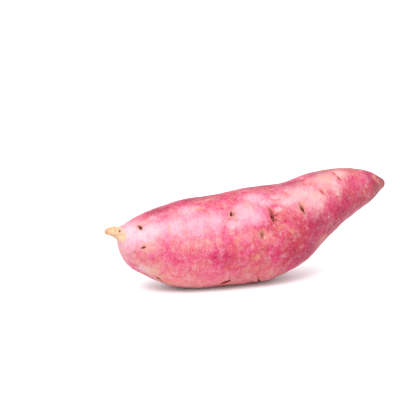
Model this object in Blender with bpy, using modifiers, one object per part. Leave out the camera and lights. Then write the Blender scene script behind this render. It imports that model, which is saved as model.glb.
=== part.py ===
"""Sweet potato: one whole storage root with the stub of its tail, lying on the flat spot of its belly.

Metres, +Z up. +X runs along the root, from the stub of the tail towards the raised tip. The flat spot
is at z = 0, and the origin is the bottom centre of the root's bounding box.
"""

import math
from collections import namedtuple

import bmesh
import bpy
from mathutils import Matrix, Vector

MM = 0.001

# The root is a row of upright sections across X. Sizes are in millimetres: the section's place along
# the root, the height and the sideways shift of its middle, half its height and half its width.
Section = namedtuple("Section", "along height side half_height half_width")

TAIL_STUB = (
    Section(-97.8, 42.0, -1.5, 1.0, 1.0),
    Section(-95.5, 42.2, -1.5, 2.4, 2.5),
    Section(-91.5, 42.0, -1.5, 3.6, 3.5),
    Section(-89.0, 39.7, -1.5, 4.7, 4.8),
)
BODY = (
    Section(-87.0, 34.2, -1.0, 10.3, 10.0),
    Section(-81.5, 31.7, -0.5, 15.6, 16.0),
    Section(-72.0, 31.3, 0.0, 20.0, 20.5),
    Section(-58.5, 29.2, 0.0, 25.4, 26.0),
    Section(-42.0, 29.5, 0.5, 29.5, 29.5),
    Section(-24.0, 29.8, 0.0, 29.1, 30.5),
    Section(-6.0, 31.0, -0.5, 31.0, 31.0),
    Section(11.0, 32.5, -0.5, 30.5, 30.5),
    Section(25.5, 35.3, 0.0, 28.1, 29.0),
    Section(35.5, 40.0, 1.0, 27.5, 27.0),
    Section(46.0, 45.7, 2.0, 24.0, 23.5),
    Section(56.5, 49.5, 3.0, 20.8, 20.0),
    Section(67.0, 53.1, 4.5, 17.2, 16.5),
    Section(78.5, 55.5, 5.5, 13.5, 13.0),
    Section(88.0, 56.1, 6.0, 9.8, 9.7),
    Section(94.5, 57.3, 6.5, 4.5, 4.5),
    Section(99.0, 57.2, 7.0, 2.5, 2.5),
)

# Each section is a ring of this many cage points, which the subdivision rounds
RING_POINTS = 12
SUBDIVISIONS = 2

# The body's sections aren't true ellipses: shallow lobes run along it and turn slowly on the way
Lobes = namedtuple("Lobes", "count depth start turns")
LOBES = (
    Lobes(count=2, depth=0.012, start=0.6, turns=0.35),
    Lobes(count=3, depth=0.018, start=1.9, turns=-0.30),
)

# The belly's flat spot is this deep in its rounded underside, and its cutter stands out this far
FLAT_DEPTH = 1.0
CUTTER_MARGIN = 10.0

SKIN_COLOUR = (0.60, 0.11, 0.18, 1.0)
SKIN_ROUGHNESS = 0.5


def clear_scene():
    for obj in list(bpy.data.objects):
        bpy.data.objects.remove(obj)


def new_collection(name):
    collection = bpy.data.collections.new(name)
    bpy.context.scene.collection.children.link(collection)
    return collection


def skin_material():
    material = bpy.data.materials.new("sweet_potato_skin")
    material.use_nodes = True
    shader = material.node_tree.nodes["Principled BSDF"]
    shader.inputs["Base Color"].default_value = SKIN_COLOUR
    shader.inputs["Roughness"].default_value = SKIN_ROUGHNESS
    shader.inputs["Metallic"].default_value = 0.0
    return material


def lobed(angle, place):
    """The factor on a section's radius at an angle, for a section at place 0 to 1 along the body."""
    factor = 1.0
    for lobes in LOBES:
        turn = lobes.start + math.tau * lobes.turns * place
        factor += lobes.depth * math.cos(lobes.count * angle + turn)
    return factor


def ring_of(section, place=None):
    """The section's ring of cage points, standing out by as much as the subdivision draws it in."""
    drawn_in = (2 + math.cos(math.tau / RING_POINTS)) / 3
    points = []
    for i in range(RING_POINTS):
        angle = math.tau * i / RING_POINTS
        factor = 1 / drawn_in
        if place is not None:
            factor *= lobed(angle, place)
        across = section.side + section.half_width * factor * math.cos(angle)
        up = section.height + section.half_height * factor * math.sin(angle)
        points.append(Vector((section.along, across, up)) * MM)
    return points


def root_cage():
    """The root's coarse cage: a ring for each section, joined by quads and closed at both ends."""
    rings = [ring_of(section) for section in TAIL_STUB]
    for n, section in enumerate(BODY):
        rings.append(ring_of(section, n / (len(BODY) - 1)))
    bm = bmesh.new()
    rings = [[bm.verts.new(point) for point in ring] for ring in rings]
    for ring, following in zip(rings, rings[1:]):
        for i in range(RING_POINTS):
            j = (i + 1) % RING_POINTS
            bm.faces.new((ring[i], ring[j], following[j], following[i]))
    bm.faces.new(rings[0])
    bm.faces.new(rings[-1])
    bmesh.ops.recalc_face_normals(bm, faces=bm.faces)
    for face in bm.faces:
        face.smooth = True
    mesh = bpy.data.meshes.new("sweet_potato")
    bm.to_mesh(mesh)
    bm.free()
    return mesh


def add_root(collection):
    root = bpy.data.objects.new("sweet_potato", root_cage())
    collection.objects.link(root)
    root.data.materials.append(skin_material())
    rounding = root.modifiers.new("rounding", "SUBSURF")
    rounding.levels = SUBDIVISIONS
    rounding.render_levels = SUBDIVISIONS
    return root


def corners(obj):
    """The lowest and highest corner of the object's box, with its modifiers."""
    bpy.context.view_layer.update()
    evaluated = obj.evaluated_get(bpy.context.evaluated_depsgraph_get())
    points = [obj.matrix_world @ vert.co for vert in evaluated.data.vertices]
    low = Vector([min(point[axis] for point in points) for axis in range(3)])
    high = Vector([max(point[axis] for point in points) for axis in range(3)])
    return low, high


def add_belly_cutter(collection, root):
    """A block below the root, whose upper face is where the belly is cut flat."""
    low, high = corners(root)
    margin = CUTTER_MARGIN * MM
    cut_height = low.z + FLAT_DEPTH * MM
    size = Vector((high.x - low.x + margin, high.y - low.y + margin, margin))
    middle = Vector(((low.x + high.x) / 2, (low.y + high.y) / 2, cut_height - margin / 2))
    bm = bmesh.new()
    bmesh.ops.create_cube(bm, size=1, matrix=Matrix.Diagonal(size.to_4d()))
    mesh = bpy.data.meshes.new("belly_cutter")
    bm.to_mesh(mesh)
    bm.free()
    cutter = bpy.data.objects.new("belly_cutter", mesh)
    cutter.location = middle
    cutter.hide_render = True
    cutter.display_type = "WIRE"
    collection.objects.link(cutter)
    return cutter


def cut_belly(root, cutter):
    flat_spot = root.modifiers.new("flat_spot", "BOOLEAN")
    flat_spot.operation = "DIFFERENCE"
    flat_spot.solver = "EXACT"
    flat_spot.object = cutter


def stand_on_origin(root, cutter):
    """Move both, so that the root's bounding box has its bottom centre at the origin."""
    low, high = corners(root)
    bottom_centre = Vector(((low.x + high.x) / 2, (low.y + high.y) / 2, low.z))
    for obj in (root, cutter):
        obj.location -= bottom_centre


def main():
    clear_scene()
    root = add_root(new_collection("sweet_potato"))
    cutter = add_belly_cutter(new_collection("cutters"), root)
    cut_belly(root, cutter)
    stand_on_origin(root, cutter)


main()
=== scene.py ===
"""Looks of the sweet potato: its mottled skin with eyes, folds and scars, its hair roots and a pale studio.

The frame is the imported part's, in metres: +X runs from the stub of the tail to the raised tip, -Y is the
front, +Z is up and the belly's flat spot lies on z = 0. The sizes of the skin's relief, marks, patches and
patterns and of the hair roots are in millimetres, and those of the studio in metres. A place on the skin is
given as its distance along X and its angle round the root, in degrees: 0 is the top, 90 the front, 180 the
belly and -90 the back.
"""

import math
from collections import namedtuple

import bmesh
import bpy
import numpy as np
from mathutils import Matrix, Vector
from mathutils.bvhtree import BVHTree


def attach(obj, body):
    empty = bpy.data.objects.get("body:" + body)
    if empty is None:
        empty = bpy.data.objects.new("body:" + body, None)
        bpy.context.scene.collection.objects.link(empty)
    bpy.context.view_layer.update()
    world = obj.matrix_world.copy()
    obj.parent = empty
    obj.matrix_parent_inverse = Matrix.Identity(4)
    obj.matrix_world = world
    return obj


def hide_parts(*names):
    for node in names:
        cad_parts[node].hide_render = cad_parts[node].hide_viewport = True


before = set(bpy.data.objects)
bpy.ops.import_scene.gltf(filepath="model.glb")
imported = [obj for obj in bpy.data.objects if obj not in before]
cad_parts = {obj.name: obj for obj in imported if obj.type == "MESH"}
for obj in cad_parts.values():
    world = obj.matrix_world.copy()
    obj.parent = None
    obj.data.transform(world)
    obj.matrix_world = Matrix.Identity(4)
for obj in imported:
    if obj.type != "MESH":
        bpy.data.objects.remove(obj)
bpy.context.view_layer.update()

MM = 0.001
NODE = "sweet_potato"

# The form under the skin is the CAD solid with its doubles merged, its triangles joined where they turn by
# less than this angle, in radians, and then rounded this often
MERGE_DISTANCE = 0.01 * MM
JOINED_ANGLE = 0.7
FORM_ROUNDING = 2

# The skin's mesh is an even grid, smoothed this often. Round the marks, as far out as this many half
# widths, and on both thin ends, the grid is cut finer.
SKIN_GRID = 0.88 * MM
GRID_SMOOTHING = 8
FINE_CUTS = 2
FINE_REACH = 1.9
STUB_START, TIP_START = -86.5 * MM, 92.0 * MM

# The relief of the skin: each layer's height and the size of its waves, in millimetres
RELIEF = {
    "Lump Height": 1.0,
    "Lump Size": 22.0,
    "Ripple Height": 0.26,
    "Ripple Size": 6.0,
    "Grain Height": 0.08,
    "Grain Size": 2.2,
    "Seed": 4.0,
}
# How each layer's waves are stretched along X, Y and Z, their detail, and their step from the seed
WAVES = {
    "Lump": ((1.3, 1.0, 1.0), 1.0, 0.0),
    "Ripple": ((0.7, 1.8, 1.8), 1.5, 7.0),
    "Grain": ((0.8, 1.4, 1.4), 1.0, 13.0),
}
# Below this height the waves fade out, so that the belly's flat spot stays flat
FLAT_MARGIN = 5.0
# No part of the skin is moved past this place, so that none of it is below the floor
LOWEST_PLACE = (-1.0, -1.0, 0.0)

# A mark is a stroke through stops. Each stop is a place on the skin, half the stroke's width there, its
# depth, which is below zero where the skin stands proud, and how dark it is stained, from 0 to 1.
Stop = namedtuple("Stop", "along angle half_width depth stain")
MARK_STEP = 0.3

# Across a mark, in half widths from its stroke: where its hollow ends, where the rim round it rises and
# falls, and where its stain and the ring of colour round that fade out
HOLLOW = (0.0, 1.3)
RIM_RISE = (0.6, 1.5)
RIM_FALL = (1.5, 3.2)
STAIN_FADE = (0.2, 1.2)
RING_FADE = (0.8, 2.8)
# The height of each kind of mark's rim, as a share of the mark's depth
RIM_HEIGHTS = {"Eyes": 0.1, "Folds": 0.12, "Swellings": 0.0}


# A pit is a stroke of this turn each way, in degrees. A slit's ends have these shares of its middle's half
# width and depth, and its first and last stop these shares of its stain.
PIT_TURN = 0.8
END_WIDTH, END_DEPTH = 0.35, 0.3
FIRST_STAIN, LAST_STAIN = 0.6, 0.7


def pit(along, angle, half_width, depth, stain=1.0):
    """A round mark."""
    return tuple(Stop(along, angle + turn, half_width, depth, stain) for turn in (-PIT_TURN, PIT_TURN))


def slit(along, angle, turn, half_width, depth, stain=0.9, lean=0.6):
    """A mark drawn out round the girth, over this turn in degrees, with fine ends."""
    end_width, end_depth = half_width * END_WIDTH, depth * END_DEPTH
    return (
        Stop(along - lean, angle - turn / 2, end_width, end_depth, stain * FIRST_STAIN),
        Stop(along, angle, half_width, depth, stain),
        Stop(along + lean, angle + turn / 2, end_width, end_depth, stain * LAST_STAIN),
    )


EYES = (
    # in front
    (Stop(-78.1, 30.4, 0.9, 0.1, 0.25), Stop(-78.5, 34.5, 1.3, 0.4, 0.6), Stop(-78.1, 40.0, 1.6, 0.8, 1.0),
     Stop(-77.9, 43.5, 1.0, 0.4, 0.6), Stop(-78.0, 47.0, 0.7, 0.1, 0.3)),
    pit(-79.6, 36.0, 1.2, 0.05, 0.35),
    (Stop(-80.0, 85.2, 0.7, 0.2, 0.3), Stop(-78.3, 82.6, 1.0, 0.6, 0.9), Stop(-77.2, 81.4, 0.7, 0.3, 0.6)),
    pit(-83.1, 95.0, 1.3, 0.2, 0.4),
    pit(-79.1, 68.0, 0.5, 0.1, 0.25),
    (Stop(-67.9, 145.5, 1.5, 0.3, 1.0), Stop(-65.5, 149.0, 1.2, 0.2, 0.5),
     Stop(-62.0, 153.0, 0.7, 0.1, 0.3)),
    (Stop(-65.0, 130.5, 0.7, 0.1, 0.3), Stop(-63.2, 133.0, 0.7, 0.1, 0.25)),
    (Stop(-22.0, 42.5, 0.5, 0.2, 0.4), Stop(-22.2, 44.8, 1.0, 0.5, 0.95),
     Stop(-22.8, 48.0, 1.0, 0.5, 0.95)),
    pit(-20.9, 47.0, 1.4, 0.05, 0.40),
    pit(-19.9, 51.5, 0.4, 0.15, 0.45),
    pit(-19.8, 54.6, 0.4, 0.2, 0.5),
    pit(-20.0, 57.6, 0.35, 0.15, 0.45),
    pit(-20.9, 60.8, 0.35, 0.15, 0.35),
    (Stop(22.9, 43.5, 1.1, 0.05, 0.15), Stop(23.3, 47.0, 1.6, 0.1, 0.30), Stop(23.8, 52.5, 2.0, 0.25, 0.42),
     Stop(24.3, 57.0, 1.8, 0.4, 0.8), Stop(24.6, 59.5, 1.3, 0.5, 1.0), Stop(25.2, 63.0, 0.9, 0.2, 0.6),
     Stop(25.9, 67.0, 0.7, 0.1, 0.35)),
    (Stop(-5.2, 74.0, 1.6, 0.15, 0.40), Stop(-5.5, 77.0, 2.1, 0.25, 0.60), Stop(-5.8, 80.5, 1.6, 0.2, 0.5)),
    pit(-4.5, 83.4, 0.4, 0.1, 0.4),
    pit(-89.7, 50.5, 0.8, 0.35, 0.75),
    pit(-92.4, 75.0, 0.9, 0.1, 0.28),
    pit(-95.8, 88.0, 0.5, 0.1, 0.3),
    # Under the junction of the stub and the body: a shallow dent whose stain is painted shade
    pit(-89.6, 140.0, 1.0, 0.1, 0.28),
    (Stop(40.0, 83.0, 1.0, 0.1, 0.10), Stop(43.6, 96.0, 1.4, 0.1, 0.12), Stop(44.7, 106.0, 1.8, 0.2, 0.15),
     Stop(44.5, 115.0, 1.2, 0.1, 0.10)),
    # at the back, on top and below
    pit(-63.6, -41, 1.0, 0.9),
    slit(-47.2, -99, 8, 1.0, 1.1),
    pit(-70.6, -120, 0.8, 0.5, 0.8),
    slit(-30.2, -66, 7, 0.8, 0.6, 0.8),
    pit(-25.8, -140, 0.9, 0.8),
    pit(-8.7, -22, 0.75, 0.6, 0.85),
    slit(-5.0, -107, 11, 1.0, 1.1),
    pit(16.0, -61, 0.95, 0.9),
    slit(27.3, -125, 7, 0.8, 0.7, 0.85),
    slit(39.0, -88, 8, 0.9, 0.8),
    slit(57.4, -54, 10, 0.75, 0.6, 0.8),
    slit(70.2, -116, 12, 0.7, 0.5, 0.7),
    pit(7.3, 168, 0.8, 0.5, 0.8),
    pit(-51.7, 166, 0.8, 0.5, 0.8),
    slit(30.5, 171, 7, 0.8, 0.6, 0.8),
)
FOLDS = (
    # in front
    (Stop(0.9, 42.0, 1.0, 0.1, 0.12), Stop(2.0, 46.5, 1.6, 0.2, 0.30), Stop(2.8, 50.0, 2.0, 0.4, 0.48),
     Stop(3.2, 54.0, 2.3, 0.7, 0.52), Stop(3.0, 56.6, 2.0, 0.9, 0.66), Stop(2.9, 58.2, 1.7, 1.0, 1.0),
     Stop(3.1, 60.5, 1.3, 0.8, 0.95), Stop(3.5, 65.0, 0.9, 0.2, 0.40)),
    (Stop(35.0, 36.0, 1.3, 0.15, 0.03), Stop(38.9, 41.5, 1.5, 0.3, 0.12), Stop(40.8, 48.5, 1.5, 0.35, 0.4),
     Stop(41.2, 51.5, 1.1, 0.3, 0.45), Stop(43.0, 57.0, 0.6, 0.1, 0.18), Stop(44.6, 64.0, 0.5, 0.1, 0.12)),
    (Stop(54.5, 20.0, 1.0, 0.15, 0.4), Stop(55.0, 26.0, 1.2, 0.2, 0.45)),
    (Stop(56.1, 34.0, 0.9, 0.15, 0.4), Stop(56.8, 40.0, 1.4, 0.3, 0.5), Stop(57.1, 43.0, 0.9, 0.15, 0.35)),
    (Stop(15.6, 23.0, 0.6, 0.15, 0.2), Stop(18.6, 33.0, 0.6, 0.15, 0.22)),
    (Stop(-28.0, 144.5, 1.5, 0.5, 0.75), Stop(-25.4, 140.5, 2.3, 1.1, 1.0),
     Stop(-23.9, 137.5, 1.5, 0.6, 0.9), Stop(-23.3, 134.5, 0.8, 0.3, 0.4)),
    # A shallow line low on the belly, whose stain is painted shade under the belly's edge
    (Stop(-32.0, 148.0, 1.2, 0.05, 0.3), Stop(-25.0, 151.0, 2.0, 0.05, 0.5),
     Stop(-17.0, 153.0, 1.4, 0.05, 0.4)),
    (Stop(-5.6, 129.0, 0.5, 0.2, 0.2), Stop(-5.0, 135.5, 0.8, 0.6, 0.3), Stop(-3.7, 142.0, 1.0, 1.0, 0.3),
     Stop(-1.0, 153.0, 1.1, 1.1, 0.3), Stop(1.2, 163.0, 1.1, 1.0, 0.3), Stop(2.2, 172.0, 0.8, 0.6, 0.2)),
    # A shallow line under the lobe beside the notch, whose stain is painted shade
    (Stop(1.5, 152.0, 0.8, 0.05, 0.5), Stop(7.0, 155.0, 0.9, 0.05, 0.55),
     Stop(13.0, 153.0, 0.6, 0.05, 0.4)),
    # at the back and on top
    slit(-39.0, -74, 26, 1.3, 0.9, 0.6, lean=1.4),
    slit(5.2, -84, 24, 1.3, 1.0, 0.7, lean=-1.0),
    slit(25.2, -48, 16, 1.1, 0.7, 0.5, lean=1.4),
    slit(46.0, -84, 38, 1.2, 0.7, 0.5, lean=1.2),
    slit(-57.0, -128, 16, 1.2, 0.6, 0.5, lean=1.0),
    slit(19.0, -149, 18, 1.2, 0.7, 0.5, lean=0.8),
    slit(-19.6, -8, 12, 1.0, 0.4, 0.4, lean=0.6),
    slit(65.3, -42, 40, 0.8, 0.5, 0.5, lean=1.0),
)
SWELLINGS = (
    # beside the marks in front
    (Stop(-1.2, 43.0, 2.2, -0.35, 0), Stop(-0.3, 52.0, 2.2, -0.7, 0), Stop(0.3, 62.0, 2.0, -0.4, 0)),
    (Stop(5.4, 44.0, 2.6, -0.3, 0), Stop(6.2, 52.0, 2.6, -0.4, 0)),
    (Stop(-80.4, 35.0, 1.6, -0.35, 0), Stop(-79.8, 31.0, 1.4, -0.2, 0)),
    (Stop(-10.0, 141.0, 3.0, 0.3, 0), Stop(-7.5, 147.0, 3.0, 0.7, 0), Stop(-4.5, 159.0, 3.0, 0.7, 0)),
    (Stop(1.5, 143.0, 3.4, -0.35, 0), Stop(5.0, 152.0, 3.6, -0.6, 0), Stop(9.0, 162.0, 3.4, -0.6, 0)),
    (Stop(43.5, 41.0, 3.0, -0.3, 0), Stop(45.5, 51.0, 3.2, -0.4, 0)),
    # at the back
    (Stop(-43.0, -68, 3.4, -0.4, 0), Stop(-43.5, -82, 3.4, -0.4, 0)),
    (Stop(9.4, -78, 3.6, -0.5, 0), Stop(9.6, -92, 3.6, -0.5, 0)),
    (Stop(50.0, -74, 3.2, -0.4, 0), Stop(50.6, -94, 3.2, -0.4, 0)),
)

# A patch of the skin: its middle, and how far it reaches along the root and round it. Each list makes one
# mask. The list that only makes the skin brighter is painted light, and the list that only makes it darker
# is painted shade; the others change its colour. A mask is 1 in the middle of a patch and
# exp(-PATCH_FADE), about a half, at its reach.
Patch = namedtuple("Patch", "along angle reach_along reach_round")
PATCH_FADE = 0.7

PATCHES = {
    # Paler skin; on the upper front, where the key light falls, partly painted sheen, and low at the left
    # end of the belly partly painted light
    "pale": (
        Patch(-85, 60, 6, 12), Patch(-80, 48, 8, 9), Patch(-74, 56, 10, 8), Patch(-60, 48, 12, 8),
        Patch(-47, 52, 11, 8), Patch(-34, 52, 8, 6), Patch(-14, 48, 8, 6), Patch(-8, 58, 5, 4),
        Patch(-70, 24, 4, 2), Patch(-48, 30, 7, 4), Patch(-5, 29, 6, 4), Patch(16, 42, 6, 3),
        Patch(1, 38, 5, 3), Patch(-22, 60, 6, 3), Patch(-76, 132, 6, 4), Patch(8, 50, 2.5, 1.6),
        Patch(9, 33, 3, 1.6), Patch(-66, -50, 16, 10), Patch(-14, -45, 18, 9), Patch(24, -70, 12, 10),
        Patch(-30, -120, 14, 8), Patch(60, -60, 9, 7), Patch(-86, -60, 8, 10),
    ),
    # Pale blush skin, partly painted sheen on the upper front of the neck
    "blush_and_painted_sheen": (
        Patch(26, 36, 10, 7), Patch(34, 50, 8, 8), Patch(37, 62, 4, 5), Patch(46, 30, 8, 8),
        Patch(51, 46, 4, 7), Patch(58, 27, 4, 4), Patch(-60, -100, 14, 9), Patch(4, -50, 12, 7),
        Patch(42, -60, 9, 7), Patch(-30, 170, 16, 7), Patch(76, -60, 7, 6),
    ),
    # Salmon skin; low in front of the belly partly painted light, which makes the underside lighter
    "salmon": (
        Patch(-77, 84, 8, 7), Patch(-82, 105, 8, 12), Patch(-72, 130, 12, 10), Patch(-50, 136, 22, 10),
        Patch(-24, 138, 16, 9), Patch(-6, 148, 10, 8), Patch(-50, 78, 12, 4), Patch(-10, 98, 9, 14),
        Patch(7, 68, 6, 8), Patch(12, 76, 7, 7), Patch(-8, 125, 14, 8), Patch(-13, 76, 8, 5),
        Patch(3, 86, 9, 6), Patch(-31, 14, 8, 4), Patch(5, 12, 12, 3), Patch(40, 122, 6, 6),
        Patch(60, 20, 8, 6), Patch(-40, -70, 16, 10), Patch(10, -100, 16, 12), Patch(-64, 170, 16, 12),
        Patch(10, 178, 18, 12), Patch(46, -130, 12, 10), Patch(80, 105, 8, 8),
    ),
    # Deeper magenta skin, and partly painted shade: along the upper edge and on the lower front of the
    # raised end
    "deep_skin_and_painted_shade": (
        Patch(34, 92, 10, 10), Patch(22, 88, 10, 9), Patch(14, 104, 12, 9), Patch(24, 122, 10, 9),
        Patch(-8, 102, 12, 8), Patch(-4, 68, 7, 4), Patch(44, 112, 10, 9), Patch(56, 104, 11, 9),
        Patch(70, 108, 12, 9), Patch(60, 84, 8, 5), Patch(84, 88, 8, 7), Patch(86, 120, 8, 8),
        Patch(34, 120, 10, 9), Patch(52, 124, 12, 10), Patch(66, 122, 10, 9), Patch(-62, 34, 4, 3),
        Patch(4, -3, 14, 5), Patch(82.5, 50, 3, 7), Patch(-29, 99, 8, 5), Patch(-28, 13, 12, 4),
        Patch(-38, 2, 20, 5), Patch(-64, 6, 10, 4), Patch(8, 3, 16, 6), Patch(20, 9, 9, 5),
        Patch(42, 10, 8, 4), Patch(-85, 104, 4, 6), Patch(-76, -90, 10, 12), Patch(-20, -90, 14, 10),
        Patch(34, -110, 14, 12), Patch(60, -100, 14, 10), Patch(-44, -150, 16, 10),
    ),
    "ochre": (
        Patch(-43.7, 29, 4, 3), Patch(-30.5, 14, 6, 1.6), Patch(-76, 82, 4, 3), Patch(-72, 133, 4, 3),
        Patch(-63, 149, 9, 2.5), Patch(-5.5, 77, 3, 3), Patch(-9.3, 105, 3.5, 3), Patch(5, 134, 5, 3),
        Patch(6, 148, 7, 4), Patch(40, 123, 4, 4), Patch(47, 26, 6, 4), Patch(-20.6, 47, 1.6, 1.8),
        Patch(25.5, 52, 2, 3), Patch(9, 72, 4, 3), Patch(-62, 55, 0.9, 5), Patch(-54, 62, 0.9, 3),
        Patch(-20, 82, 3, 3), Patch(-80.2, 37, 1.2, 1.2), Patch(-14, 118, 5, 3), Patch(14, 80, 4, 3),
        Patch(-50, -98, 6, 4), Patch(-5, -108, 6, 5), Patch(16, -60, 4, 4), Patch(-20, 165, 12, 7),
        Patch(38, -90, 4, 4), Patch(72, -110, 8, 6), Patch(-26, -140, 4, 4),
    ),
    "weathered": (
        Patch(52, 3, 10, 4), Patch(67, 4, 12, 5), Patch(79, 2, 9, 3.5), Patch(88, 96, 5, 5),
        Patch(93, 60, 4, 10), Patch(84, 130, 7, 4), Patch(96, -90, 9, 14), Patch(88, -100, 8, 7),
    ),
    "scar": (
        Patch(52.0, 64, 0.9, 0.7), Patch(53.2, 66, 0.8, 0.8), Patch(33.2, 7, 0.9, 0.8),
        Patch(34.0, 9, 0.5, 1.0), Patch(77.7, 73, 0.6, 1.4), Patch(-3.9, 81, 0.6, 0.8),
        Patch(43.6, 91, 0.5, 0.8), Patch(6.7, 79, 0.4, 0.9), Patch(7.0, 81, 0.4, 0.9),
        Patch(16, 92, 0.4, 0.5), Patch(-66.6, 144, 1.6, 0.9), Patch(3.2, 68.5, 0.4, 0.7),
        Patch(-41, 27, 1.2, 0.5),
        Patch(-45, 31, 1.0, 0.6), Patch(-33, 15.5, 1.6, 0.4), Patch(-28.5, 14, 1.4, 0.4),
        Patch(10, 16, 2.4, 0.3), Patch(-12, 14, 2.0, 0.3), Patch(-58, -70, 1.6, 1.0),
        Patch(-12, -64, 1.2, 0.9), Patch(30, -40, 2.6, 0.7), Patch(48, -66, 1.3, 1.0),
        Patch(2, -132, 1.6, 1.0),
    ),
    # Painted light: brightens the lower front of the belly by up to a quarter
    "light": (
        Patch(-58, 142, 14, 10), Patch(-40, 142, 18, 11), Patch(-22, 148, 14, 8), Patch(-4, 152, 12, 8),
    ),
    # Painted shade: darkens the upper edge, and the front and underside of the raised end, by up to a
    # quarter
    "painted_shade": (
        Patch(32, 118, 12, 14), Patch(46, 118, 12, 12), Patch(60, 114, 12, 11), Patch(74, 110, 12, 10),
        Patch(88, 100, 8, 12), Patch(8, 2, 16, 7), Patch(24, 10, 8, 5), Patch(-38, 2, 14, 5),
        Patch(93, 60, 5, 12), Patch(36, 90, 8, 7), Patch(52, 124, 14, 8), Patch(78, 120, 14, 8),
        Patch(-64, 5, 12, 5), Patch(42, 9, 6, 4), Patch(82.5, 48, 3, 7),
    ),
    # Whitish skin at the left end, partly painted sheen on its upper front
    "whitish_skin_and_painted_sheen": (
        Patch(-84, 40, 5, 7), Patch(-79, 56, 4, 4), Patch(-72, 50, 5, 4),
    ),
    "scab": (
        Patch(-72, 128, 5, 4), Patch(-66, 134, 6, 4), Patch(-60, 147, 7, 3), Patch(-77, 87, 2, 1),
        Patch(-44, 158, 5, 2), Patch(30, -112, 4, 3),
    ),
    "tip_scar": (Patch(86.6, 42, 1.8, 2.2), Patch(89.2, 60, 1.8, 1.6)),
    "stub": (Patch(-93.0, 60, 5.2, 9), Patch(-88.4, 68, 1.7, 3)),
    "stub_under": (Patch(-92.5, 160, 4.5, 2.6), Patch(-97.5, 90, 1.6, 2.5)),
}

# The skin's own two ranges of colour, from dark to light, each a position and a colour
MAGENTA_SHADES = (
    (0.10, (0.25, 0.005, 0.040)),
    (0.35, (0.36, 0.018, 0.068)),
    (0.50, (0.43, 0.042, 0.112)),
    (0.65, (0.46, 0.095, 0.170)),
    (0.90, (0.48, 0.250, 0.310)),
)
SALMON_SHADES = (
    (0.10, (0.25, 0.012, 0.025)),
    (0.35, (0.35, 0.036, 0.055)),
    (0.50, (0.42, 0.072, 0.095)),
    (0.65, (0.45, 0.135, 0.145)),
    (0.90, (0.48, 0.270, 0.220)),
)
# The cloudy patterns of the skin's colour, roughness and bump, with their sizes in millimetres
SKIN_CLOUDS = {
    "broad": {"size": 26.0, "detail": 2.0, "seed": 2.0},
    "hue": {"size": 8.5, "detail": 1.0, "seed": 3.0, "distortion": 0.4},
    "mottle": {"size": 6.5, "detail": 4.0, "roughness": 0.56, "seed": 5.0, "distortion": 0.6},
    "blotches": {"size": 2.4, "detail": 2.0, "roughness": 0.6, "seed": 7.0, "distortion": 1.0},
    "streaks": {"size": 1.5, "detail": 2.0, "seed": 9.0, "stretch": (0.8, 1.6, 1.6), "distortion": 1.0},
    "fine": {"size": 1.1, "detail": 2.0, "roughness": 0.6, "seed": 11.0},
    "scratches": {"size": 1.0, "detail": 1.0, "seed": 14.0, "stretch": (14.0, 0.7, 0.7)},
}
# The skin's shade from dark to light, its way from magenta to salmon, its brightness and its roughness:
# each has a middle value, and a strength for every pattern and every list of patches that shifts it
Shifted = namedtuple("Shifted", "middle clouds patches", defaults=({},))
# Some patches that shift the shade and hue are partly painted light: the deeper ones partly painted shade,
# the paler ones partly painted sheen, and the salmon ones low on the belly partly painted light
SHADE = Shifted(
    0.50,
    clouds={"broad": 0.26, "mottle": 0.50, "blotches": 0.36, "streaks": 0.38},
    patches={"deep_skin_and_painted_shade": -0.23, "pale": 0.28, "salmon": 0.08, "blush_and_painted_sheen": 0.28},
)
YELLOWNESS = Shifted(
    0.36,
    clouds={"hue": 2.7},
    patches={"salmon": 0.62, "deep_skin_and_painted_shade": -0.28, "pale": -0.20, "blush_and_painted_sheen": 0.25},
)
# The patches that brighten the skin are painted light, and those that darken it are painted shade
BRIGHTNESS = Shifted(1.0, clouds={"fine": 0.36, "streaks": 0.25}, patches={"light": 0.25, "painted_shade": -0.25})
ROUGHNESS = Shifted(0.40, clouds={"mottle": 0.16, "fine": 0.12})
BUMP_CLOUDS = {"streaks": 0.6, "fine": 0.4, "blotches": 0.9}

# Cream scratches along the root: how high their pattern is where they begin to show and where they are
# whole, and how strong they are
SCRATCH_START, SCRATCH_WHOLE, SCRATCH_STRENGTH = 0.66, 0.8, 0.35
# Flecks: how far apart they could be, the share of them that shows, their size as a share of that distance
# before it is varied, and how strong they are. Each is stretched by this along X, Y and Z, is at least this
# share of its size, and fades out between these shares of the way from its middle.
FLECK_STRETCH = (0.7, 1.2, 1.2)
SMALLEST_FLECK = 0.6
FLECK_FADE = (0.3, 1.0)
CREAM_FLECKS = {"spacing": 3.4, "share": 0.30, "size": 0.20, "strength": 0.40}
DARK_SPECKS = {"spacing": 3.2, "share": 0.40, "size": 0.20, "strength": 0.34}

LAVENDER = (0.48, 0.290, 0.350)
BLUSH = (0.48, 0.290, 0.300)
WHITISH_SKIN_AND_SHEEN = (0.50, 0.370, 0.420)
OCHRE = (0.45, 0.195, 0.135)
CREAM = (0.49, 0.335, 0.240)
BLUSH_WHITE = (0.50, 0.375, 0.360)
SCAB = (0.42, 0.235, 0.150)
WEATHERED_SHADES = (
    (0.38, (0.20, 0.036, 0.042)),
    (0.60, (0.34, 0.090, 0.088)),
)
TIP_SCAR = (0.46, 0.160, 0.140)
STUB_SHADES = (
    (0.38, (0.45, 0.250, 0.135)),
    (0.58, (0.49, 0.370, 0.235)),
)
STUB_UNDERSIDE = (0.42, 0.215, 0.130)
FOLD_RING = (0.44, 0.105, 0.100)
FOLD_SHADES = (
    (0.12, (0.42, 0.095, 0.105)),
    (0.40, (0.30, 0.058, 0.057)),
    (0.62, (0.18, 0.019, 0.018)),
    (0.85, (0.08, 0.002, 0.003)),
)
EYE_RING = (0.42, 0.180, 0.145)
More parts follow.
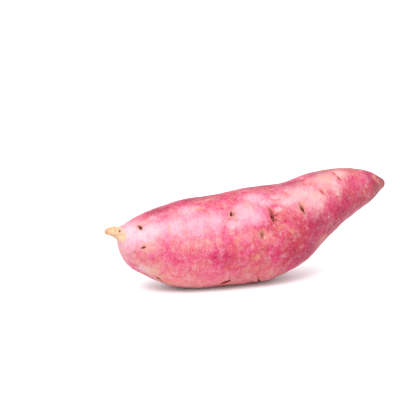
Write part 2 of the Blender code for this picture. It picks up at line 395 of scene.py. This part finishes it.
EYE_SHADES = (
    (0.20, (0.37, 0.150, 0.115)),
    (0.50, (0.22, 0.068, 0.050)),
    (0.72, (0.12, 0.022, 0.016)),
    (0.92, (0.06, 0.004, 0.003)),
)
FIBRE_SHADES = (
    (0.30, (0.12, 0.014, 0.012)),
    (0.70, (0.25, 0.045, 0.035)),
)

# A coat of a colour, or of shades, over a mask: the grain of its edge in millimetres, how ragged and how
# soft the edge is, how strong the coat is at most, and how high its mask rises in the middle
Coat = namedtuple("Coat", "mask colour grain raggedness softness strength peak", defaults=(1.0, 1.0))
# The first three coats, of paler skin, are partly painted sheen on the upper front
UNDERCOATS = (
    Coat("pale", LAVENDER, 4.5, 1.8, 0.6, 0.55),
    Coat("blush_and_painted_sheen", BLUSH, 4.5, 1.8, 0.6, 0.55),
    Coat("whitish_skin_and_painted_sheen", WHITISH_SKIN_AND_SHEEN, 3.5, 1.6, 0.5, 0.6),
    Coat("ochre", OCHRE, 2.4, 2.6, 0.4, 0.6, peak=0.65),
)
TOPCOATS = (
    Coat("scar", BLUSH_WHITE, 1.2, 0.8, 0.4, 0.55),
    Coat("scab", SCAB, 1.3, 3.0, 0.3, 0.7, peak=0.5),
    Coat("weathered", WEATHERED_SHADES, 3.0, 1.3, 0.4, 0.8),
    Coat("tip_scar", TIP_SCAR, 2.0, 0.8, 0.3, 0.8),
    Coat("stub", STUB_SHADES, 2.5, 0.4, 0.3),
    # The stub's underside coat is more orange: its own colour at its end, and painted shade on its
    # underside
    Coat("stub_under", STUB_UNDERSIDE, 1.5, 0.5, 0.4, 0.8),
)
# Each kind of stained mark: the ring of colour round it, the shades from its edge to its core, and how
# strong its stain is where these begin to show and where they hide the skin
MARK_COLOURS = (
    ("folds", Coat("folds rim", FOLD_RING, 2.0, 0.8, 0.4, 0.5), FOLD_SHADES, 0.0, 0.4),
    ("eyes", Coat("eyes rim", EYE_RING, 1.5, 1.0, 0.45, 0.55), EYE_SHADES, 0.05, 0.5),
)

SKIN_SPECULAR = 0.08
BUMP_STRENGTH = 0.7
BUMP_HEIGHT = 0.4 * MM
FIBRE_CLOUDS = {"size": 0.5, "detail": 3.0, "seed": 21.0}
FIBRE_ROUGHNESS = {"low": 0.55, "high": 0.8}
FIBRE_BUMP_STRENGTH = 0.6
FIBRE_BUMP_HEIGHT = 0.05 * MM

# A hair root leaves an eye or a fold at a place, and runs over the skin on a heading in degrees: 0 is along
# X towards the tip, and 90 is down in front. It bends by its curl over its length.
HairRoot = namedtuple("HairRoot", "along angle heading length thickness curl")
HAIR_ROOTS = (
    HairRoot(2.9, 60.4, 6, 5.2, 0.80, 6),
    HairRoot(3.2, 57.4, -4, 4.6, 0.80, 10),
    HairRoot(-22.3, 48.0, 40, 1.6, 0.30, 50),
    HairRoot(-24.2, 139.0, -20, 2.2, 0.28, 40),
    HairRoot(-63.4, -42, -60, 2.8, 0.28, 50),
    HairRoot(-47.0, -100, -100, 3.2, 0.28, -50),
    HairRoot(-46.8, -99, -30, 2.6, 0.26, 60),
    HairRoot(-4.6, -108, -150, 3.6, 0.30, 60),
    HairRoot(-4.8, -107, -80, 3.0, 0.26, -40),
    HairRoot(16.2, -62, -20, 3.4, 0.30, 60),
    HairRoot(39.2, -89, -70, 3.0, 0.26, 60),
    HairRoot(-25.6, -141, -130, 2.8, 0.26, 60),
)
HAIR_STEPS = 12
HAIR_SIDES = 7
# A hair root starts below the skin, arches up out of its hollow and ends above the skin. The arch is over
# when 1 / ARCH_PACE of the hair's length has passed. The taper is the share of its thickness that it loses.
HAIR_START_DEPTH = 0.1
HAIR_ARCH = 0.5
ARCH_PACE = 1.4
HAIR_END_HEIGHT = 0.4
HAIR_TAPER = 0.75

# The photograph's view: its direction, in degrees, distance and scale, and its point of aim, with the
# column and the row of the picture that this falls on
CAMERA_AZIMUTH, CAMERA_ELEVATION = -21.9, 12.8
CAMERA_DISTANCE = 0.8
PHOTO_SIZE = 400
PHOTO_PIXELS_PER_RADIAN = 1243.5
AIM_POINT = Vector((0.0, 0.0, 0.032))
AIM_COLUMN, AIM_ROW = 252.2, 231.6
SENSOR_WIDTH = 36.0

FLOOR_SIZE = 14.0
FLOOR_COLOUR = (0.88, 0.95, 0.95, 1)
FLOOR_ROUGHNESS = 0.9
STUDIO_STRENGTH = 1.6
KEY_LIGHT = {"azimuth": -36, "elevation": 52, "strength": 2.1, "spread": 36}


def node(tree, kind, inputs=None, **settings):
    """Add a node. An input is a value to set, or another node's output socket to link."""
    made = tree.nodes.new(kind)
    for name, value in settings.items():
        setattr(made, name, value)
    for key, value in (inputs or {}).items():
        if isinstance(value, bpy.types.NodeSocket):
            tree.links.new(value, made.inputs[key])
        else:
            made.inputs[key].default_value = value
    return made


def calculate(tree, operation, *values):
    return node(tree, "ShaderNodeMath", dict(enumerate(values)), operation=operation).outputs[0]


def total(tree, *values):
    result = values[0]
    for value in values[1:]:
        result = calculate(tree, "ADD", result, value)
    return result


def times(tree, value, factor):
    return calculate(tree, "MULTIPLY", value, factor)


def vector(tree, operation, *values):
    made = node(tree, "ShaderNodeVectorMath", dict(enumerate(values)), operation=operation)
    return made.outputs["Value" if operation == "DISTANCE" else "Vector"]


def scaled(tree, value, factor):
    inputs = {"Vector": value, "Scale": factor}
    return node(tree, "ShaderNodeVectorMath", inputs, operation="SCALE").outputs["Vector"]


def in_millimetres(tree, place):
    return vector(tree, "MULTIPLY", place, (1 / MM,) * 3)


def eased(tree, value, start, end, low=0.0, high=1.0):
    """A value that eases from low to high while another goes from start to end."""
    inputs = {"Value": value, "From Min": start, "From Max": end, "To Min": low, "To Max": high}
    return node(tree, "ShaderNodeMapRange", inputs, interpolation_type="SMOOTHSTEP").outputs[0]


def clouds(tree, place, size, detail=2.0, roughness=0.5, seed=0.0, stretch=(1, 1, 1), distortion=0.0):
    """Cloudy values around 0.5, with clouds of the given size, stretched along the axes."""
    shrink = tuple(1 / (size * factor) for factor in stretch)
    inputs = {
        "Vector": vector(tree, "MULTIPLY", place, shrink),
        "W": seed,
        "Scale": 1.0,
        "Detail": detail,
        "Roughness": roughness,
        "Distortion": distortion,
    }
    return node(tree, "ShaderNodeTexNoise", inputs, noise_dimensions="4D").outputs[0]


def mixed(tree, factor, first, second):
    """Two colours mixed. In a Mix node, sockets 6 and 7 are the ones for colours."""
    inputs = {0: factor, 6: first, 7: second}
    return node(tree, "ShaderNodeMix", inputs, data_type="RGBA").outputs[2]


def ramp(tree, value, stops):
    """A colour that runs through stops, each a position and a colour, as the value rises."""
    made = node(tree, "ShaderNodeValToRGB", {0: value})
    elements = made.color_ramp.elements
    while len(elements) < len(stops):
        elements.new(0.5)
    for element, (position, colour) in zip(elements, stops):
        element.position = position
        element.color = (*colour, 1)
    return made.outputs[0]


def new_group(name, kind, inputs, outputs):
    """A node group with named sockets. Gives the tree and its input and output nodes."""
    tree = bpy.data.node_groups.new(name, kind)
    for label, socket_type, *default in inputs:
        socket = tree.interface.new_socket(label, in_out="INPUT", socket_type=socket_type)
        if default:
            socket.default_value = default[0]
    for label, socket_type in outputs:
        tree.interface.new_socket(label, in_out="OUTPUT", socket_type=socket_type)
    return tree, tree.nodes.new("NodeGroupInput"), tree.nodes.new("NodeGroupOutput")


def set_inputs(modifier, values):
    """Set a geometry nodes modifier's inputs by their names."""
    for item in modifier.node_group.interface.items_tree:
        if item.item_type == "SOCKET" and item.in_out == "INPUT" and item.name in values:
            modifier[item.identifier] = values[item.name]


def apply_modifiers(piece):
    """Turn the piece and its modifiers into a plain mesh."""
    graph = bpy.context.evaluated_depsgraph_get()
    mesh = bpy.data.meshes.new_from_object(piece.evaluated_get(graph))
    piece.modifiers.clear()
    piece.data = mesh


def mesh_points(mesh):
    points = np.zeros(len(mesh.vertices) * 3)
    mesh.vertices.foreach_get("co", points)
    return points.reshape(-1, 3)


class RootSurface:
    """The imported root's surface, for finding a place on it by its distance along and angle round."""

    FAR = 0.2

    def __init__(self, mesh):
        self.points = mesh_points(mesh)
        faces = [face.vertices[:] for face in mesh.polygons]
        self.tree = BVHTree.FromPolygons([Vector(point) for point in self.points], faces)
        edges = np.array([edge.vertices[:] for edge in mesh.edges])
        self.starts, self.ends = self.points[edges[:, 0]], self.points[edges[:, 1]]

    def middle(self, along):
        """The middle of the box round the surface's cut across X at this place."""
        before = along * MM - self.starts[:, 0]
        after = self.ends[:, 0] - along * MM
        crossing = before * after > 0
        share = (before / (before + after + 1e-12))[crossing, None]
        cut = self.starts[crossing] * (1 - share) + self.ends[crossing] * share
        return (cut.min(0) + cut.max(0)) / 2

    def place(self, along, angle):
        """The place on the surface at this distance along the root and angle round it."""
        start = Vector(self.middle(along))
        turn = math.radians(angle)
        outwards = Vector((0, -math.sin(turn), math.cos(turn)))
        return self.tree.ray_cast(start + outwards * self.FAR, -outwards)[0]


def marks_object(name, marks, surface):
    """A cloud of points along the marks' strokes, with the strokes' sizes as attributes."""
    points = []
    sizes = []
    for mark in marks:
        corners = [surface.place(stop.along, stop.angle) for stop in mark]
        lengths = [(b - a).length for a, b in zip(corners, corners[1:])]
        stops = np.concatenate(([0], np.cumsum(lengths)))
        steps = max(2, round(stops[-1] / (MARK_STEP * MM)))
        for travelled in np.linspace(0, stops[-1], steps + 1):
            here = Stop(*(np.interp(travelled, stops, values) for values in zip(*mark)))
            points.append(surface.place(here.along, here.angle))
            sizes.append((here.half_width * MM, here.depth * MM, here.stain))
    mesh = bpy.data.meshes.new(name)
    mesh.from_pydata(points, [], [])
    for label, values in zip(("half_width", "depth", "stain"), zip(*sizes)):
        mesh.attributes.new(label, "FLOAT", "POINT").data.foreach_set("value", values)
    cloud = bpy.data.objects.new(name, mesh)
    bpy.context.scene.collection.objects.link(cloud)
    return cloud


def rounded(obj):
    """Round the object's mesh, and give its points."""
    rounding = obj.modifiers.new("rounding", "SUBSURF")
    rounding.levels = FORM_ROUNDING
    rounding.render_levels = FORM_ROUNDING
    apply_modifiers(obj)
    return mesh_points(obj.data)


def rounded_form(cad_mesh):
    """The form that the skin is laid on: the CAD solid's surface, rounded through its own points."""
    mesh = cad_mesh.copy()
    bm = bmesh.new()
    bm.from_mesh(mesh)
    bmesh.ops.remove_doubles(bm, verts=bm.verts, dist=MERGE_DISTANCE)
    bmesh.ops.join_triangles(
        bm, faces=bm.faces, angle_face_threshold=JOINED_ANGLE, angle_shape_threshold=JOINED_ANGLE,
    )
    bm.to_mesh(mesh)
    bm.free()
    mesh.materials.clear()
    wanted = mesh_points(mesh)
    form = bpy.data.objects.new("form", mesh.copy())
    bpy.context.scene.collection.objects.link(form)
    drawn_in = wanted - rounded(form)[:len(wanted)]
    mesh.vertices.foreach_set("co", (wanted + drawn_in).ravel())
    form.data = mesh
    rounded(form)
    return form


def even_skin(form):
    """A smooth skin of small even quads."""
    skin = bpy.data.objects.new("skin", form.data.copy())
    bpy.context.scene.collection.objects.link(skin)
    grid = skin.modifiers.new("grid", "REMESH")
    grid.mode = "VOXEL"
    grid.voxel_size = SKIN_GRID
    grid.use_smooth_shade = True
    evening = skin.modifiers.new("evening", "SMOOTH")
    evening.iterations = GRID_SMOOTHING
    apply_modifiers(skin)
    return skin


def refine(skin, clouds_of_marks):
    """Cut the grid finer round the marks and on the thin ends, so that they are crisp."""
    bm = bmesh.new()
    bm.from_mesh(skin.data)
    middles = np.array([((edge.verts[0].co + edge.verts[1].co) / 2)[:] for edge in bm.edges])
    wanted = (middles[:, 0] < STUB_START) | (middles[:, 0] > TIP_START)
    for cloud in clouds_of_marks:
        half_widths = np.zeros(len(cloud.data.vertices))
        cloud.data.attributes["half_width"].data.foreach_get("value", half_widths)
        for point, half_width in zip(mesh_points(cloud.data), half_widths):
            reach = FINE_REACH * half_width + SKIN_GRID
            wanted |= np.linalg.norm(middles - point, axis=1) < reach
    bm.edges.ensure_lookup_table()
    edges = [bm.edges[i] for i in np.flatnonzero(wanted)]
    bmesh.ops.subdivide_edges(bm, edges=edges, cuts=FINE_CUTS, use_grid_fill=True)
    bmesh.ops.triangulate(bm, faces=[face for face in bm.faces if len(face.verts) > 4])
    bm.to_mesh(skin.data)
    bm.free()


def lay_on(skin, form):
    """Lay the skin's points back on the form."""
    laying = skin.modifiers.new("laying", "SHRINKWRAP")
    laying.target = form
    laying.wrap_method = "NEAREST_SURFACEPOINT"
    apply_modifiers(skin)


def end_of_tree(tree, geometry, material, result):
    """End a geometry nodes tree: real geometry, of this material, at its output."""
    geometry = node(tree, "GeometryNodeRealizeInstances", {"Geometry": geometry}).outputs[0]
    inputs = {"Geometry": geometry, "Material": material}
    geometry = node(tree, "GeometryNodeSetMaterial", inputs).outputs[0]
    tree.links.new(geometry, result.inputs["Geometry"])


def pressed_marks_group():
    """Geometry nodes: how far a cloud of marks presses the skin in, and how dark it stains the skin."""
    tree, given, result = new_group(
        "pressed_marks", "GeometryNodeTree",
        inputs=(("Marks", "NodeSocketObject"), ("Rim Height", "NodeSocketFloat", 0.1)),
        outputs=(("Offset", "NodeSocketFloat"), ("Stain", "NodeSocketFloat"), ("Rim", "NodeSocketFloat")),
    )
    place = node(tree, "GeometryNodeInputPosition").outputs[0]
    cloud = node(tree, "GeometryNodeObjectInfo", {"Object": given.outputs["Marks"]}).outputs["Geometry"]
    inputs = {"Geometry": cloud, "Sample Position": place}
    nearest = node(tree, "GeometryNodeSampleNearest", inputs).outputs[0]

    def at_nearest(value, data_type):
        inputs = {"Geometry": cloud, "Value": value, "Index": nearest}
        return node(tree, "GeometryNodeSampleIndex", inputs, data_type=data_type).outputs[0]

    def mark_size(label):
        named = node(tree, "GeometryNodeInputNamedAttribute", {"Name": label}, data_type="FLOAT")
        return at_nearest(named.outputs[0], "FLOAT")

    distance = vector(tree, "DISTANCE", place, at_nearest(place, "FLOAT_VECTOR"))
    reach = calculate(tree, "DIVIDE", distance, mark_size("half_width"))
    hollow = eased(tree, reach, *HOLLOW, low=-1.0, high=0.0)
    rising = eased(tree, reach, *RIM_RISE)
    falling = eased(tree, reach, *RIM_FALL, low=1.0, high=0.0)
    raised = times(tree, times(tree, rising, falling), given.outputs["Rim Height"])
    stain = mark_size("stain")
    outputs = {
        "Offset": times(tree, total(tree, hollow, raised), mark_size("depth")),
        "Stain": times(tree, eased(tree, reach, *STAIN_FADE, low=1.0, high=0.0), stain),
        "Rim": times(tree, eased(tree, reach, *RING_FADE, low=1.0, high=0.0), stain),
    }
    for label, value in outputs.items():
        tree.links.new(value, result.inputs[label])
    return tree


def skin_relief_group(material):
    """Geometry nodes: lumps, ripples round the girth, grain and pressed marks on the even skin."""
    tree, given, result = new_group(
        "skin_relief", "GeometryNodeTree",
        inputs=(
            ("Geometry", "NodeSocketGeometry"),
            ("Eyes", "NodeSocketObject"),
            ("Folds", "NodeSocketObject"),
            ("Swellings", "NodeSocketObject"),
            *((label, "NodeSocketFloat", value) for label, value in RELIEF.items()),
        ),
        outputs=(("Geometry", "NodeSocketGeometry"),),
    )
    place = node(tree, "GeometryNodeInputPosition").outputs[0]
    normal = node(tree, "GeometryNodeInputNormal").outputs[0]
    in_mm = in_millimetres(tree, place)
    height_above_floor = node(tree, "ShaderNodeSeparateXYZ", {0: in_mm}).outputs["Z"]

    def waves(label):
        """The waves of one layer, around 0, in metres."""
        stretch, detail, seed_step = WAVES[label]
        inputs = {
            "Vector": vector(tree, "DIVIDE", in_mm, stretch),
            "W": calculate(tree, "ADD", given.outputs["Seed"], seed_step),
            "Scale": calculate(tree, "DIVIDE", 1.0, given.outputs[f"{label} Size"]),
            "Detail": detail,
        }
        wave = node(tree, "ShaderNodeTexNoise", inputs, noise_dimensions="4D").outputs[0]
        centred = times(tree, calculate(tree, "SUBTRACT", wave, 0.5), 2 * MM)
        return times(tree, centred, given.outputs[f"{label} Height"])

    lifted = eased(tree, height_above_floor, 0.0, FLAT_MARGIN)
    offset = times(tree, total(tree, *(waves(label) for label in WAVES)), lifted)

    pressed = pressed_marks_group()
    geometry = given.outputs["Geometry"]
    for label, rim_height in RIM_HEIGHTS.items():
        inputs = {"Marks": given.outputs[label], "Rim Height": rim_height}
        marks = node(tree, "GeometryNodeGroup", inputs, node_tree=pressed)
        offset = calculate(tree, "ADD", offset, marks.outputs["Offset"])
        if label == "Swellings":
            continue
        for kind in ("Stain", "Rim"):
            mask = f"{label} {kind}".lower()
            inputs = {"Geometry": geometry, "Name": mask, "Value": marks.outputs[kind]}
            stored = node(tree, "GeometryNodeStoreNamedAttribute", inputs, data_type="FLOAT")
            geometry = stored.outputs[0]

    moved = vector(tree, "ADD", place, scaled(tree, normal, offset))
    above_floor = vector(tree, "MAXIMUM", moved, LOWEST_PLACE)
    inputs = {"Geometry": geometry, "Position": above_floor}
    end_of_tree(tree, node(tree, "GeometryNodeSetPosition", inputs).outputs[0], material, result)
    return tree


def paint(mesh, label, patches, surface):
    """A soft mask on the mesh's points: 1 in the middle of each patch, and fading out past its reach."""
    points = mesh_points(mesh)
    mask = np.zeros(len(points))
    for patch in patches:
        away = points - np.array(surface.place(patch.along, patch.angle))
        along = away[:, 0] / (patch.reach_along * MM)
        round_it = np.linalg.norm(away[:, 1:], axis=1) / (patch.reach_round * MM)
        mask = np.maximum(mask, np.exp(-PATCH_FADE * (along ** 2 + round_it ** 2)))
    mesh.attributes.new(label, "FLOAT", "POINT").data.foreach_set("value", mask)


def ragged_group():
    """Shader nodes: a soft mask given a ragged, mottled edge."""
    tree, given, result = new_group(
        "ragged_mask", "ShaderNodeTree",
        inputs=(
            ("Mask", "NodeSocketFloat", 0.0),
            ("Place", "NodeSocketVector"),
            ("Grain", "NodeSocketFloat", 2.0),
            ("Raggedness", "NodeSocketFloat", 1.0),
            ("Softness", "NodeSocketFloat", 0.2),
        ),
        outputs=(("Mask", "NodeSocketFloat"),),
    )
    scale = calculate(tree, "DIVIDE", 1.0, given.outputs["Grain"])
    inputs = {"Vector": given.outputs["Place"], "Scale": scale, "Detail": 4.0, "Roughness": 0.65}
    noise = node(tree, "ShaderNodeTexNoise", inputs).outputs[0]
    shift = times(tree, calculate(tree, "SUBTRACT", noise, 0.5), given.outputs["Raggedness"])
    raised = calculate(tree, "ADD", given.outputs["Mask"], shift)
    low = calculate(tree, "SUBTRACT", 0.5, given.outputs["Softness"])
    high = calculate(tree, "ADD", 0.5, given.outputs["Softness"])
    tree.links.new(eased(tree, raised, low, high), result.inputs["Mask"])
    return tree


def flecks_group():
    """Shader nodes: scattered short flecks that lie round the girth, each of its own size."""
    tree, given, result = new_group(
        "flecks", "ShaderNodeTree",
        inputs=(
            ("Place", "NodeSocketVector"),
            ("Spacing", "NodeSocketFloat", 4.0),
            ("Share", "NodeSocketFloat", 0.5),
            ("Size", "NodeSocketFloat", 0.2),
        ),
        outputs=(("Mask", "NodeSocketFloat"),),
    )
    squeezed = vector(tree, "DIVIDE", given.outputs["Place"], FLECK_STRETCH)
    scale = calculate(tree, "DIVIDE", 1.0, given.outputs["Spacing"])
    cells = node(tree, "ShaderNodeTexVoronoi", {"Vector": squeezed, "Scale": scale}, feature="F1")
    chance = node(tree, "ShaderNodeSeparateColor", {0: cells.outputs["Color"]}).outputs[0]
    shown = calculate(tree, "LESS_THAN", chance, given.outputs["Share"])
    reach = times(tree, given.outputs["Size"], calculate(tree, "ADD", chance, SMALLEST_FLECK))
    edge = calculate(tree, "DIVIDE", cells.outputs["Distance"], reach)
    mask = times(tree, eased(tree, edge, *FLECK_FADE, low=1.0, high=0.0), shown)
    tree.links.new(mask, result.inputs["Mask"])
    return tree


def skin_material():
    """Mottled magenta and salmon skin, with coats of other colours on its patches, and stained marks.
    Some of the patches and marks are partly painted light, painted shade and painted sheen.
    """
    material = bpy.data.materials.new("sweet_potato_skin")
    material.use_nodes = True
    tree = material.node_tree
    shader = tree.nodes["Principled BSDF"]
    ragged = ragged_group()
    flecks = flecks_group()
    place = in_millimetres(tree, node(tree, "ShaderNodeTexCoord").outputs["Object"])
    pattern = {name: clouds(tree, place, **cloud) for name, cloud in SKIN_CLOUDS.items()}

    def painted(label):
        return node(tree, "ShaderNodeAttribute", attribute_name=label).outputs["Fac"]

    def shifted(amount):
        """The middle value, shifted up and down by the clouds around 0.5 and by the patches."""
        result = amount.middle
        for name, strength in amount.clouds.items():
            shift = times(tree, calculate(tree, "SUBTRACT", pattern[name], 0.5), strength)
            result = calculate(tree, "ADD", result, shift)
        for mask, strength in amount.patches.items():
            result = calculate(tree, "ADD", result, times(tree, painted(mask), strength))
        return result

    def scattered(spacing, share, size, strength):
        inputs = {"Place": place, "Spacing": spacing, "Share": share, "Size": size}
        mask = node(tree, "ShaderNodeGroup", inputs, node_tree=flecks).outputs["Mask"]
        return times(tree, mask, strength)

    def coated(colour, coat):
        """The colour with a coat over it. A coat of shades runs through them as the blotches do."""
        inputs = {
            "Mask": times(tree, painted(coat.mask), coat.peak),
            "Place": place,
            "Grain": coat.grain,
            "Raggedness": coat.raggedness,
            "Softness": coat.softness,
        }
        mask = node(tree, "ShaderNodeGroup", inputs, node_tree=ragged).outputs["Mask"]
        one_colour = isinstance(coat.colour[0], float)
        over = (*coat.colour, 1) if one_colour else ramp(tree, pattern["blotches"], coat.colour)
        return mixed(tree, times(tree, mask, coat.strength), colour, over)

    yellowness = eased(tree, shifted(YELLOWNESS), 0.0, 1.0)
    shade = shifted(SHADE)
    colour = mixed(tree, yellowness, ramp(tree, shade, MAGENTA_SHADES), ramp(tree, shade, SALMON_SHADES))

    for coat in UNDERCOATS:
        colour = coated(colour, coat)
    scratches = eased(tree, pattern["scratches"], SCRATCH_START, SCRATCH_WHOLE)
    colour = mixed(tree, times(tree, scratches, SCRATCH_STRENGTH), colour, (*CREAM, 1))
    colour = mixed(tree, scattered(**CREAM_FLECKS), colour, (*CREAM, 1))
    for coat in TOPCOATS:
        colour = coated(colour, coat)
    for kind, ring, shades, shown_from, full_from in MARK_COLOURS:
        colour = coated(colour, ring)
        stain = painted(f"{kind} stain")
        colour = mixed(tree, eased(tree, stain, shown_from, full_from), colour, ramp(tree, stain, shades))

    specks = calculate(tree, "SUBTRACT", 1.0, scattered(**DARK_SPECKS))
    colour = scaled(tree, colour, times(tree, shifted(BRIGHTNESS), specks))
    tree.links.new(colour, shader.inputs["Base Color"])
    tree.links.new(shifted(ROUGHNESS), shader.inputs["Roughness"])
    shader.inputs["Specular IOR Level"].default_value = SKIN_SPECULAR

    heights = total(tree, *(times(tree, pattern[name], share) for name, share in BUMP_CLOUDS.items()))
    inputs = {"Height": heights, "Strength": BUMP_STRENGTH, "Distance": BUMP_HEIGHT}
    tree.links.new(node(tree, "ShaderNodeBump", inputs).outputs[0], shader.inputs["Normal"])
    return material


def make_skin(surface):
    """The root's skin, as fine as it shows, on the shape of the CAD solid."""
    form = rounded_form(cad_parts[NODE].data)
    skin = even_skin(form)
    helpers = {
        "Eyes": marks_object("eyes", EYES, surface),
        "Folds": marks_object("folds", FOLDS, surface),
        "Swellings": marks_object("swellings", SWELLINGS, surface),
    }
    refine(skin, (helpers["Eyes"], helpers["Folds"]))
    lay_on(skin, form)
    relief = skin.modifiers.new("relief", "NODES")
    relief.node_group = skin_relief_group(skin_material())
    set_inputs(relief, {**helpers, **RELIEF})
    apply_modifiers(skin)
    for helper in (*helpers.values(), form):
        bpy.data.objects.remove(helper)
    skin.data.shade_smooth()
    for label, patches in PATCHES.items():
        paint(skin.data, label, patches, surface)
    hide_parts(NODE)
    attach(skin, "root")
    return skin


def hair_path(hair, surface, skin_tree):
    """Points of a hair root: out of its hollow, then over the skin, bending as it goes."""
    position = surface.place(hair.along, hair.angle)
    turn = math.radians(hair.angle)
    down_front = Vector((0, -math.cos(turn), -math.sin(turn)))
    heading = math.radians(hair.heading)
    direction_now = Vector((math.cos(heading), 0, 0)) + down_front * math.sin(heading)
    step = hair.length * MM / HAIR_STEPS
    path = []
    for i in range(HAIR_STEPS + 1):
        place, normal, *_ = skin_tree.find_nearest(position)
        arch = math.sin(math.pi * min(1, ARCH_PACE * i / HAIR_STEPS)) * HAIR_ARCH
        height = arch + HAIR_END_HEIGHT * i / HAIR_STEPS - HAIR_START_DEPTH
        path.append(place + normal * height * MM)
        side = normal.cross(direction_now).normalized()
        forwards = side.cross(normal)
        bend = math.radians(hair.curl) / HAIR_STEPS
        direction_now = forwards * math.cos(bend) + side * math.sin(bend)
        position = place + direction_now * step
    return path


def hair_roots_group(material):
    """Geometry nodes: a thin tapered tube along each hair root's curve."""
    tree, given, result = new_group(
        "hair_tubes", "GeometryNodeTree",
        inputs=(("Geometry", "NodeSocketGeometry"), ("Sides", "NodeSocketInt", HAIR_SIDES)),
        outputs=(("Geometry", "NodeSocketGeometry"),),
    )
    inputs = {"Resolution": given.outputs["Sides"], "Radius": 1.0}
    ring = node(tree, "GeometryNodeCurvePrimitiveCircle", inputs).outputs["Curve"]
    radius = node(tree, "GeometryNodeInputRadius").outputs[0]
    inputs = {"Curve": given.outputs["Geometry"], "Profile Curve": ring, "Scale": radius, "Fill Caps": True}
    end_of_tree(tree, node(tree, "GeometryNodeCurveToMesh", inputs).outputs[0], material, result)
    return tree


def hair_material():
    """Dry dark brown fibre, lighter towards red in streaks."""
    material = bpy.data.materials.new("hair_root_fibre")
    material.use_nodes = True
    tree = material.node_tree
    shader = tree.nodes["Principled BSDF"]
    place = in_millimetres(tree, node(tree, "ShaderNodeTexCoord").outputs["Object"])
    streaks = clouds(tree, place, **FIBRE_CLOUDS)
    tree.links.new(ramp(tree, streaks, FIBRE_SHADES), shader.inputs["Base Color"])
    tree.links.new(eased(tree, streaks, 0.2, 0.8, **FIBRE_ROUGHNESS), shader.inputs["Roughness"])
    inputs = {"Height": streaks, "Strength": FIBRE_BUMP_STRENGTH, "Distance": FIBRE_BUMP_HEIGHT}
    tree.links.new(node(tree, "ShaderNodeBump", inputs).outputs[0], shader.inputs["Normal"])
    return material


def make_hair_roots(surface, skin):
    curves = bpy.data.curves.new("hair_roots", "CURVE")
    curves.dimensions = "3D"
    skin_faces = [face.vertices[:] for face in skin.data.polygons]
    skin_tree = BVHTree.FromPolygons([Vector(point) for point in mesh_points(skin.data)], skin_faces)
    for hair in HAIR_ROOTS:
        path = hair_path(hair, surface, skin_tree)
        spline = curves.splines.new("POLY")
        spline.points.add(len(path) - 1)
        for i, (point, place) in enumerate(zip(spline.points, path)):
            point.co = (*place, 1)
            point.radius = hair.thickness / 2 * MM * (1 - HAIR_TAPER * i / HAIR_STEPS)
    guide = bpy.data.objects.new("hair_guide", curves)
    bpy.context.scene.collection.objects.link(guide)
    tubes = guide.modifiers.new("tubes", "NODES")
    tubes.node_group = hair_roots_group(hair_material())
    graph = bpy.context.evaluated_depsgraph_get()
    mesh = bpy.data.meshes.new_from_object(guide.evaluated_get(graph))
    bpy.data.objects.remove(guide)
    hairs = bpy.data.objects.new("hair_roots", mesh)
    bpy.context.scene.collection.objects.link(hairs)
    mesh.shade_smooth()
    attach(hairs, "root")


def make_floor():
    bpy.ops.mesh.primitive_plane_add(size=FLOOR_SIZE)
    floor = bpy.context.object
    floor.name = "floor"
    material = bpy.data.materials.new("pale_floor")
    material.use_nodes = True
    shader = material.node_tree.nodes["Principled BSDF"]
    shader.inputs["Base Color"].default_value = FLOOR_COLOUR
    shader.inputs["Roughness"].default_value = FLOOR_ROUGHNESS
    floor.data.materials.append(material)


def direction(azimuth, elevation):
    """The unit vector towards a place round the object. Azimuth 0 is the front, 90 the tip's side."""
    a, e = math.radians(azimuth), math.radians(elevation)
    return Vector((math.sin(a) * math.cos(e), -math.cos(a) * math.cos(e), math.sin(e)))


def add_soft_light(name, azimuth, elevation, strength, spread):
    """A far, wide source, as bright all over the floor, with the given spread in degrees."""
    light = bpy.data.lights.new(name, "SUN")
    light.energy = strength
    light.angle = math.radians(spread)
    lamp = bpy.data.objects.new(name, light)
    lamp.rotation_euler = direction(azimuth, elevation).to_track_quat("Z", "Y").to_euler()
    bpy.context.scene.collection.objects.link(lamp)


def make_lights():
    world = bpy.data.worlds.new("pale_studio")
    world.use_nodes = True
    background = world.node_tree.nodes["Background"]
    background.inputs["Color"].default_value = (1, 1, 1, 1)
    background.inputs["Strength"].default_value = STUDIO_STRENGTH
    bpy.context.scene.world = world
    add_soft_light("key_light", **KEY_LIGHT)


def make_camera():
    """The photograph's camera, turned so that its point of aim falls on its column and row."""
    towards = direction(CAMERA_AZIMUTH, CAMERA_ELEVATION)
    middle = PHOTO_SIZE / 2
    aim_ray = Vector((AIM_COLUMN - middle, middle - AIM_ROW, -PHOTO_PIXELS_PER_RADIAN))
    turn = towards.to_track_quat("Z", "Y") @ aim_ray.rotation_difference(Vector((0, 0, -1)))
    data = bpy.data.cameras.new("camera")
    data.sensor_width = SENSOR_WIDTH
    data.lens = SENSOR_WIDTH * PHOTO_PIXELS_PER_RADIAN / PHOTO_SIZE
    camera = bpy.data.objects.new("camera", data)
    camera.rotation_euler = turn.to_euler()
    camera.location = AIM_POINT + towards * CAMERA_DISTANCE
    bpy.context.scene.collection.objects.link(camera)
    bpy.context.scene.camera = camera


bpy.context.scene.view_settings.view_transform = "Standard"
make_camera()
make_lights()
make_floor()
root_surface = RootSurface(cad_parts[NODE].data)
make_hair_roots(root_surface, make_skin(root_surface))
